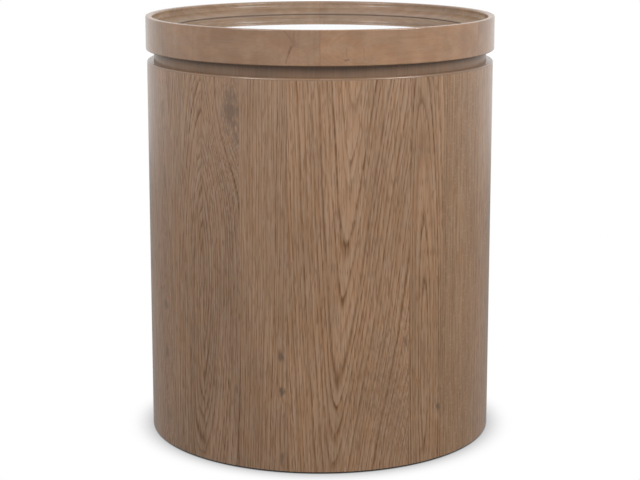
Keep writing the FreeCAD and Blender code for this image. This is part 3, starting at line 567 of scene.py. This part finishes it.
def upright_spot(tree, place):
    """Place on upright veneer: arc length across, height along the grain."""
    height = vector_parts(tree, place)[2]
    return shader_node(tree, "CombineXYZ", X=grain_map(tree)[0], Z=height).outputs[0]


drum_radius, veneer, drum_foot, drum_top = 0.251, 0.0008, 0.0025, 0.543
leaf_seam, knife_edge = 0.00015, 0.0001
leaf_outline = eased_outline(
    ((drum_radius - veneer, drum_foot), (drum_radius, drum_foot),
     (drum_radius, drum_top), (drum_radius - veneer, drum_top)), (knife_edge,) * 4)
leaf_edges = (-56.5, -39.8, -25.7, -10.2, 29.2, 42.4, 62.0, 99.0, 145.0, 176.5, 219.5, 259.5, 303.5)
# A leaf's heart is given in degrees from the front, as a share of the height from the top, and as a
# depth. A knot has its degrees, its share from the top, width, length, the grain's swell, darkness.
plain_figure = dict(drift=0.0, tilt=0.0, taper=0.0, ring=0.0043, wander=0.012, pores=1.0, rays=0.0,
                    knots=())
leaf_figures = (
    dict(heart=(-39.0, 0.56, 0.004), tilt=0.15, drift=0.03, wander=0.03, ring=0.0036,
         shade=(150, 124, 103)),
    dict(heart=(-43.0, 0.49, 0.006), tilt=0.17, wander=0.02, shade=(153, 127, 107),
         knots=((-28.5, 0.08, 0.012, 0.030, 0.035, 0.7), (-26.5, 0.15, 0.006, 0.010, 0.0, 0.5))),
    dict(heart=(-3.0, 0.50, 0.014), taper=0.02, ring=0.0038, pores=0.85, shade=(153, 126, 104),
         knots=((-12.2, 0.70, 0.004, 0.009, 0.003, 0.8), (-12.0, 0.79, 0.004, 0.007, 0.003, 0.9),
                (-12.0, 0.97, 0.003, 0.010, 0.002, 0.7))),
    dict(heart=(7.5, 0.50, 0.010), drift=0.05, taper=-0.10, ring=0.0056, pores=0.92,
         shade=(157, 128, 104),
         knots=((31.0, 1.02, 0.024, 0.050, 0.05, 0.0), (27.8, 0.67, 0.003, 0.009, 0.003, 0.7),
                (23.5, 0.88, 0.032, 0.110, 0.0, 0.16))),
    dict(heart=(34.8, 0.45, 0.010), tilt=0.06, drift=-0.02, ring=0.0050, shade=(154, 125, 100),
         knots=((41.2, 0.86, 0.003, 0.008, 0.004, 0.9),)),
    dict(heart=(150.0, 0.50, 0.050), ring=0.0030, wander=0.006, pores=0.65, rays=0.45,
         shade=(149, 121, 96)),
    dict(heart=(86.0, 0.40, 0.012), tilt=0.16, wander=0.02, shade=(153, 124, 100),
         knots=((72.0, 0.42, 0.004, 0.009, 0.008, 0.6),)),
    dict(heart=(121.0, 0.50, 0.012), drift=-0.04, taper=-0.12, wander=0.016, shade=(156, 126, 101)),
    dict(heart=(240.0, 0.50, 0.040), taper=0.02, ring=0.0036, pores=0.8, rays=0.3,
         shade=(151, 122, 98), knots=((160.0, 0.30, 0.004, 0.009, 0.008, 0.7),)),
    dict(heart=(197.0, 0.45, 0.010), tilt=0.18, wander=0.018, shade=(155, 125, 100)),
    dict(heart=(238.0, 0.50, 0.012), drift=0.03, taper=-0.09, wander=0.022, shade=(152, 123, 99),
         knots=((247.0, 0.64, 0.006, 0.014, 0.02, 0.6),)),
    dict(heart=(284.0, 0.30, 0.015), taper=0.10, wander=0.022, pores=0.8, shade=(151, 123, 101),
         knots=((299.0, 0.10, 0.006, 0.012, 0.012, 0.5), (299.5, 0.28, 0.003, 0.020, 0.010, 0.5),
                (299.0, 0.62, 0.006, 0.008, 0.010, 0.6), (299.5, 0.75, 0.006, 0.009, 0.012, 0.7),
                (300.0, 0.92, 0.006, 0.010, 0.012, 0.5))),
)


def on_drum(side, fall):
    """Arc length and height of a place on the drum, from degrees and a share of the height from the
    top."""
    return math.radians(side) * drum_radius, drum_top - fall * (drum_top - drum_foot)


half_seam = leaf_seam / 2 / drum_radius
for number, leaf_figure in enumerate(leaf_figures, start=1):
    figure = {**plain_figure, **leaf_figure}
    finish, tree, surface, place = new_finish(f"oak_veneer_{number:02d}")
    knot = {"Vector": upright_spot(tree, place), "Core": 0.0, "Bare": 0.0}
    for side, fall, width, length, swell, darkness in figure["knots"]:
        across, along = on_drum(side, fall)
        knot = placed_group(tree, oak_knot, Vector=knot["Vector"], Core=knot["Core"],
                            Bare=knot["Bare"], Across=across, Along=along, Width=width,
                            Length=length, Swell=swell, Dark=darkness)
    side, fall, deep = figure["heart"]
    across, along = on_drum(side, fall)
    grain = placed_group(tree, oak_grain, Vector=knot["Vector"], Heart_Across=across,
                         Heart_Along=along, Heart_Depth=deep, Drift=figure["drift"],
                         Tilt=figure["tilt"], Taper=figure["taper"], Ring_Width=figure["ring"],
                         Wander=figure["wander"], Seed=float(number))
    lacquer_oak(tree, surface, grain, figure["shade"], gloss=1.0, blur=0.27, Core=knot["Core"],
                Bare=knot["Bare"], Pore_Share=figure["pores"], Ray_Share=figure["rays"])
    first, last = np.radians(leaf_edges[number - 1:number + 1])
    leaf = turned_piece(f"oak_leaf_{number:02d}", leaf_outline, first + half_seam,
                        last - first - 2 * half_seam, finish)
    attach(leaf, "table")
    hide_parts(f"veneer_leaf_{number:02d}")

# Neck: a band of the same veneer set back under the rim, so that the tray seems to float.
# It is laid on the plywood ring with its grain upright and straight; most of it lies in shadow.
# The neck's colour is darker and greyer than the drum's veneer: painted shade under the rim and
# painted sheen
neck_radius, neck_foot, neck_top, neck_colour_painted_shade = 0.241, 0.543, 0.562, (128, 106, 89)
neck_outline = eased_outline(
    ((neck_radius - veneer, neck_foot), (neck_radius, neck_foot),
     (neck_radius, neck_top), (neck_radius - veneer, neck_top)), (knife_edge,) * 4)
finish, tree, surface, place = new_finish("oak_neck")
grain = placed_group(tree, oak_grain, Vector=upright_spot(tree, place), Heart_Across=3.0,
                     Heart_Depth=0.2, Ring_Width=0.004, Wander=0.01, Seed=21.0)
lacquer_oak(tree, surface, grain, neck_colour_painted_shade, gloss=0.5, blur=0.14,
            Pore_Share=0.1, Figure_Share=0.4)
neck = turned_piece("oak_neck_band", neck_outline, 0.0, full_turn, finish)
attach(neck, "table")
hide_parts("neck_band")

# Lippings: thin solid oak strips bent round the drum's top and bottom edges to cover the plywood.
# The grain runs round the drum; the upper one is rounded over and catches the light as a fine line.
# The lippings' colour is darker than the drum's veneer: painted shade that tones down the light on
# the shoulder
lipping_colour_painted_shade = (132, 107, 87)
finish, tree, surface, place = new_finish("oak_lipping")
lipping_map = grain_map(tree)
spot = shader_node(tree, "CombineXYZ", X=lipping_map[1], Z=lipping_map[0]).outputs[0]
grain = placed_group(tree, oak_grain, Vector=spot, Heart_Across=0.3, Heart_Depth=0.05,
                     Ring_Width=0.0025, Wander=0.004, Seed=22.0)
lacquer_oak(tree, surface, grain, lipping_colour_painted_shade, gloss=1.0, blur=0.2,
            Pore_Share=0.2, Figure_Share=0.5)
shoulder_foot, shoulder_top, shoulder_inside, shoulder_round = 0.543, 0.546, 0.2413, 0.0025
shoulder_outline = eased_outline(
    ((shoulder_inside, shoulder_foot), (drum_radius, shoulder_foot),
     (drum_radius, shoulder_top), (shoulder_inside, shoulder_top)),
    (knife_edge, knife_edge, shoulder_round, knife_edge), steps=7)
shoulder = turned_piece("oak_shoulder", shoulder_outline, 0.0, full_turn, finish)
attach(shoulder, "table")
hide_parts("shoulder_lipping")
dress(finish, "base_lipping")

# Tray rim: six solid oak segments, tenoned end to end and turned to a flat crest, a cove and a
# dished slope. Each has its grain along its own chord; a brown glue line shows at each joint.
# Round the pane a dark line is painted shadow of the gap, and inside the crest the lacquer is
# duller and the colour paler and greyer: painted sheen.
rim_radius, rim_foot, rim_top, rim_edge = 0.2525, 0.562, 0.610, 0.0015
crest_radius, crest_round, cove_level, cove_round = 0.243, 0.003, 0.6005, 0.0065
dish_radius, dish_level, panel_level, rebate_radius = 0.2155, 0.5923, 0.584, 0.226
rim_outline = eased_outline(
    ((rebate_radius, rim_foot), (rim_radius, rim_foot), (rim_radius, rim_top),
     (crest_radius, rim_top), (crest_radius, cove_level), (dish_radius, dish_level),
     (dish_radius, panel_level), (rebate_radius, panel_level)),
    (knife_edge, rim_edge, rim_edge, crest_round, cove_round, knife_edge, knife_edge, knife_edge),
    steps=9)


def check_group():
    """A thin check or fleck in a vector: dark on the line from Tail to Tip, fading out over its
    width. The nearest place on the line is tail + run * (off . run) / (run . run), held between the
    two ends. Mask passes on the checks before."""
    group, given = new_group("oak_check", {
        "Vector": no_way, "Tail": no_way, "Tip": no_way, "Width": 0.002, "Dark": 0.5, "Mask": 0.0,
    }, {"Mask": 0.0})
    run = vector_sums(group, "SUBTRACT", given["Tip"], given["Tail"])
    off = vector_sums(group, "SUBTRACT", given["Vector"], given["Tail"])
    reach = sums(group, "DIVIDE", vector_value(group, "DOT_PRODUCT", off, run),
                 vector_value(group, "DOT_PRODUCT", run, run))
    reach = shader_node(group, "Clamp", Value=reach).outputs[0]
    apart = vector_value(group, "DISTANCE", off, vector_sums(group, "SCALE", run, Scale=reach))
    line = sums(group, "MULTIPLY", soft_step(group, apart, given["Width"], 0.0), given["Dark"])
    return close_group(group, {"Mask": sums(group, "MAXIMUM", given["Mask"], line)})


level_only = (1.0, 1.0, 0.0)


def rim_marks_group():
    blotch_scale, blotch_tint = 42.0, (0.86, 0.82, 0.78, 1.0)
    # Inside the crest the lacquer is duller, and the colour is tinted paler and greyer as painted
    # sheen
    dull_wall_edge, dull_wall_full, dull_wall_gloss = 0.0004, 0.00005, 0.35
    painted_sheen_tint = (1.02, 1.13, 1.26, 1.0)
    # A dark brown line round the pane: painted shadow of the gap between the pane and the dish
    gap_shadow_edge, gap_shadow_full, gap_shadow_share, painted_gap_shadow_brown = 0.0020, 0.0010, 0.75, paint(88, 68, 58)
    joint_width, joint_share, glue_brown = 0.0016, 0.22, paint(96, 54, 36)
    group, given = new_group("rim_marks", {
        "Colour": no_colour, "Place": no_way, "Way Round": 0.0, "Middle": 0.0, "Half Length": 0.13,
        "Seed": 0.0, "Checks": 0.0,
    }, {"Colour": no_colour, "Gloss": 1.0})
    seed = vector_sums(group, "SCALE", (1.0, 0.0, 0.0), Scale=given["Seed"])
    blotch_place = vector_sums(group, "ADD", given["Place"], seed)
    blotch = speckle(group, blotch_place, blotch_scale, detail=4.0)
    blotch = soft_step(group, blotch, low=0.32, high=0.66)
    colour = blend_colours(group, blotch, given["Colour"], blotch_tint, "MULTIPLY")
    from_middle = sums(group, "SUBTRACT", given["Way Round"], given["Middle"])
    from_end = sums(group, "SUBTRACT", given["Half Length"], sums(group, "ABSOLUTE", from_middle))
    glue_line = sums(group, "MULTIPLY", soft_step(group, from_end, joint_width, 0.0), joint_share)
    out = vector_value(group, "LENGTH", vector_sums(group, "MULTIPLY", given["Place"], level_only))
    # Duller lacquer inside the crest, with a paler, greyer tint that is painted sheen
    dull_wall_painted_sheen = soft_step(group, out, crest_radius + dull_wall_edge, crest_radius + dull_wall_full)
    colour = blend_colours(group, dull_wall_painted_sheen, colour, painted_sheen_tint, "MULTIPLY")
    # Painted shadow of the gap round the pane
    painted_gap_shadow = soft_step(group, out, dish_radius + gap_shadow_edge, dish_radius + gap_shadow_full)
    painted_gap_shadow = sums(group, "MULTIPLY", painted_gap_shadow, gap_shadow_share)
    colour = blend_colours(group, painted_gap_shadow, colour, painted_gap_shadow_brown)
    marks = sums(group, "MAXIMUM", glue_line, given["Checks"])
    return close_group(group, {"Colour": blend_colours(group, marks, colour, glue_brown),
                               "Gloss": between(group, dull_wall_painted_sheen, start=1.0, end=dull_wall_gloss)})


oak_check, rim_marks = check_group(), rim_marks_group()
# Heart of each segment (out from the axis, height), taper, ring width, latewood colour
rim_figures = (
    ((0.2515, 0.588), 0.01, 0.0026, (152, 119, 91)),
    ((-0.60, 0.600), -0.02, 0.0036, (146, 117, 92)),
    ((-0.50, 0.590), 0.03, 0.0042, (142, 116, 95)),
    ((-0.45, 0.560), 0.02, 0.0038, (143, 117, 95)),
    ((-0.60, 0.610), -0.02, 0.0040, (143, 116, 92)),
    ((-0.50, 0.580), -0.02, 0.0042, (145, 115, 90)),
)
# Checks and flecks in the two front segments: tail and tip in degrees and height, width, darkness
rim_checks = {
    1: (((7.6, 0.5700), (8.6, 0.5710), 0.0022, 0.6), ((7.9, 0.5860), (8.0, 0.5740), 0.0014, 0.25),
        ((13.2, 0.5840), (13.4, 0.5700), 0.0014, 0.25)),
    6: (((349.3, 0.6080), (351.6, 0.5970), 0.0020, 0.35),
        ((352.3, 0.6090), (352.0, 0.5980), 0.0018, 0.35),
        ((351.8, 0.5960), (352.1, 0.5905), 0.0056, 0.32),
        ((351.4, 0.5880), (350.6, 0.5790), 0.0026, 0.7),
        ((350.6, 0.5790), (349.7, 0.5660), 0.0018, 0.5)),
}
segment_arc, rim_wander, first_seed, coat_index = full_turn / len(rim_figures), 0.006, 30.0, 1.6
for number, (heart, lean, ring, shade) in enumerate(rim_figures, start=1):
    finish, tree, surface, place = new_finish(f"oak_rim_{number}")
    begin = (number - 1) * segment_arc
    middle = begin + segment_arc / 2
    to_side = (0, 0, math.pi / 2 - middle)
    turned = shader_node(tree, "Mapping", Vector=place, Rotation=to_side).outputs[0]
    local = vector_parts(tree, turned)
    spot = shader_node(tree, "CombineXYZ", X=local[0], Y=local[2], Z=local[1]).outputs[0]
    grain = placed_group(tree, oak_grain, Vector=spot, Heart_Across=heart[0], Heart_Along=0.0,
                         Heart_Depth=-heart[1], Taper=lean, Ring_Width=ring, Wander=rim_wander,
                         Seed=first_seed + number)
    colour = lacquer_oak(tree, surface, grain, shade, gloss=1.0, blur=0.22,
                         Pore_Share=0.1, Figure_Share=0.3)
    surface.inputs["Coat IOR"].default_value = coat_index
    way_round = grain_map(tree)[0]
    rim_face = shader_node(tree, "CombineXYZ", X=way_round, Y=local[2]).outputs[0]
    checks = 0.0
    for *ends, width, darkness in rim_checks.get(number, ()):
        tail, tip = ((math.radians(side) * rim_radius, level, 0.0) for side, level in ends)
        checks = placed_group(tree, oak_check, Vector=rim_face, Tail=tail, Tip=tip, Width=width,
                              Dark=darkness, Mask=checks)["Mask"]
    marked = placed_group(tree, rim_marks, Colour=colour, Place=place, Way_Round=way_round,
                          Middle=middle * rim_radius, Half_Length=segment_arc * rim_radius / 2,
                          Seed=float(number), Checks=checks)
    tree.links.new(marked["Colour"], surface.inputs["Base Color"])
    tree.links.new(marked["Gloss"], surface.inputs["Coat Weight"])
    segment = turned_piece(f"oak_rim_{number}", rim_outline, begin, segment_arc, finish)
    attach(segment, "table")
    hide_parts(f"rim_segment_{number}")

# Mirror floor of the tray: a round pane of silvered glass, 6 mm thick, with a ground arris on its
# edges. It lies on dark mastic pads; the ground edge is matt and pale, the face carries only faint
# wipe marks.
mastic_dark, mastic_pale, lump_scale = paint(52, 52, 53), paint(74, 73, 71), 300.0
mastic, tree, surface, place = new_finish("mastic")
lumps = speckle(tree, place, lump_scale, detail=4.0)
lay_on(tree, surface, colour=blend_colours(tree, lumps, mastic_dark, mastic_pale),
       roughness=between(tree, lumps, start=0.6, end=0.8))
dress(mastic, "mirror_pads")
pane_radius, arris, arris_edge = 0.2145, 0.001, 0.0001
silver, ground_glass, ground_blur = paint(244, 248, 250), paint(206, 216, 212), 0.25
wipe_scale, wipe_blur, wiped_way = 18.0, 0.02, (1.0, 0.35, 1.0)
glass, tree, surface, place = new_finish("mirror_glass")
out = vector_value(tree, "LENGTH", vector_sums(tree, "MULTIPLY", place, level_only))
ground = soft_step(tree, out, pane_radius - arris - arris_edge, pane_radius - arris)
wipes = speckle(tree, vector_sums(tree, "MULTIPLY", place, wiped_way), wipe_scale, detail=4.0)
wipes = sums(tree, "MULTIPLY", wipes, wipe_blur)
lay_on(tree, surface, colour=blend_colours(tree, ground, silver, ground_glass),
       roughness=sums(tree, "MULTIPLY_ADD", ground, ground_blur, wipes))
surface.inputs["Metallic"].default_value = 1.0
surface.inputs["Sheen Weight"].default_value = 0.04
surface.inputs["Sheen Roughness"].default_value = 0.35
dress(glass, "mirror_pane")

# Studio: a pale matt floor that shows white to the camera but for the shadow where the drum meets
# it. A white surround stands behind it and gives soft light from above and behind; two soft boxes
# stand in front.
floor_half, floor_grey, near_floor, far_floor = 12.0, (0.3, 0.3, 0.3, 1.0), 1.7, 3.6
shadow_reach, shadow_end, shadow_depth, shadow_rays = 0.05, 0.95, 0.95, 16
floor_corners = ((-1, -1), (1, -1), (1, 1), (-1, 1))
floor_mesh = bpy.data.meshes.new("studio_floor")
floor_mesh.from_pydata([(across * floor_half, back * floor_half, 0.0)
                        for across, back in floor_corners], [], [(0, 1, 2, 3)])
floor = bpy.data.objects.new("studio_floor", floor_mesh)
bpy.context.scene.collection.objects.link(floor)
floor_finish = bpy.data.materials.new("pale_floor")
floor_finish.use_nodes = True
tree = floor_finish.node_tree
tree.nodes.clear()


def shown_rays(tree):
    """Two marks. The first is 1 for a ray that mirror, metal or lacquer shows to the camera, and 0
    for light on its way between matt faces; the second is 1 for the camera's own rays."""
    no_bounce = 0.5
    seen = shader_node(tree, "LightPath").outputs
    gloss = sums(tree, "MAXIMUM", seen["Is Glossy Ray"], seen["Is Transmission Ray"])
    straight = sums(tree, "LESS_THAN", seen["Diffuse Depth"], no_bounce)
    return sums(tree, "MULTIPLY", gloss, straight), seen["Is Camera Ray"]


def either(tree, share, first, second):
    """One shader turning into another as share goes from 0 to 1."""
    return shader_node(tree, "MixShader", _0=share, _1=first, _2=second).outputs[0]


matt = shader_node(tree, "BsdfDiffuse", Color=floor_grey).outputs[0]
nearness = shader_node(tree, "AmbientOcclusion", {"samples": shadow_rays}, Distance=shadow_reach)
shadow = soft_step(tree, nearness.outputs["AO"], 0.0, shadow_end)
shadow = sums(tree, "POWER", shadow, shadow_depth)
white = shader_node(tree, "Emission", Strength=shadow).outputs[0]
# Seen from below, the floor lets the underside of the table show
below = shader_node(tree, "NewGeometry").outputs["Backfacing"]
white = either(tree, below, white, shader_node(tree, "BsdfTransparent").outputs[0])
floor_place = shader_node(tree, "TexCoord").outputs["Object"]
far_glow = soft_step(tree, vector_value(tree, "LENGTH", floor_place), near_floor, far_floor)
mirrored = shader_node(tree, "Emission", Strength=between(tree, far_glow, start=0.4, end=1.0))
glossy, direct = shown_rays(tree)
unseen = either(tree, glossy, matt, mirrored.outputs[0])
shader_node(tree, "OutputMaterial", Surface=either(tree, direct, unseen, white))
floor_mesh.materials.append(floor_finish)

all_round_fill, top_fill, back_fill, back_start, back_full = 0.12, 0.55, 0.8, 0.25, 0.95
surround = bpy.data.worlds.new("white_surround")
bpy.context.scene.world = surround
surround.use_nodes = True
tree = surround.node_tree
tree.nodes.clear()
shown = sums(tree, "MAXIMUM", *shown_rays(tree))
toward = vector_parts(tree, shader_node(tree, "TexCoord").outputs["Generated"])
fill = sums(tree, "MULTIPLY_ADD", sums(tree, "MAXIMUM", toward[2], 0.0), top_fill, all_round_fill)
behind = soft_step(tree, toward[1], back_start, back_full)
fill = sums(tree, "MULTIPLY_ADD", behind, back_fill, fill)
strength = shader_node(tree, "Mix", {"data_type": "FLOAT"}, _0=shown, _2=fill, _3=1.0).outputs[0]
background = shader_node(tree, "Background", Color=(1.0, 1.0, 1.0, 1.0), Strength=strength)
shader_node(tree, "OutputWorld", Surface=background.outputs[0])

box_width, box_height, box_aim = 0.9, 1.2, (0.0, 0.0, 0.5)
# Each soft box: its place and its power in watts
soft_boxes = {"right_box": ((1.75, -1.25, 1.7), 44.0), "left_box": ((-1.5, -1.5, 1.7), 33.0)}
for name, (spot, power) in soft_boxes.items():
    lamp = bpy.data.lights.new(name, "AREA")
    lamp.shape = "RECTANGLE"
    lamp.size, lamp.size_y, lamp.energy = box_width, box_height, power
    box = bpy.data.objects.new(name, lamp)
    box.location = spot
    way = np.array(box_aim) - np.array(spot)
    tilt = math.acos(-way[2] / np.linalg.norm(way))
    box.rotation_euler = (tilt, 0.0, math.atan2(-way[0], way[1]))
    bpy.context.scene.collection.objects.link(box)

# Camera: at the photograph's viewing angle, a little above the tray and looking down on it.
# The small shift only centres the table in the frame as the photograph does.
lens_length, sensor_width, framing_shift = 97.37, 36.0, -0.078125
camera_spot, camera_tilt = (0.0, -2.517, 0.8196), math.radians(79.437)
view = bpy.data.cameras.new("studio_camera")
view.lens, view.sensor_width = lens_length, sensor_width
view.shift_y = framing_shift
camera = bpy.data.objects.new("studio_camera", view)
camera.location = camera_spot
camera.rotation_euler = (camera_tilt, 0.0, 0.0)
bpy.context.scene.collection.objects.link(camera)
bpy.context.scene.camera = camera
bpy.context.scene.view_settings.view_transform = "Standard"
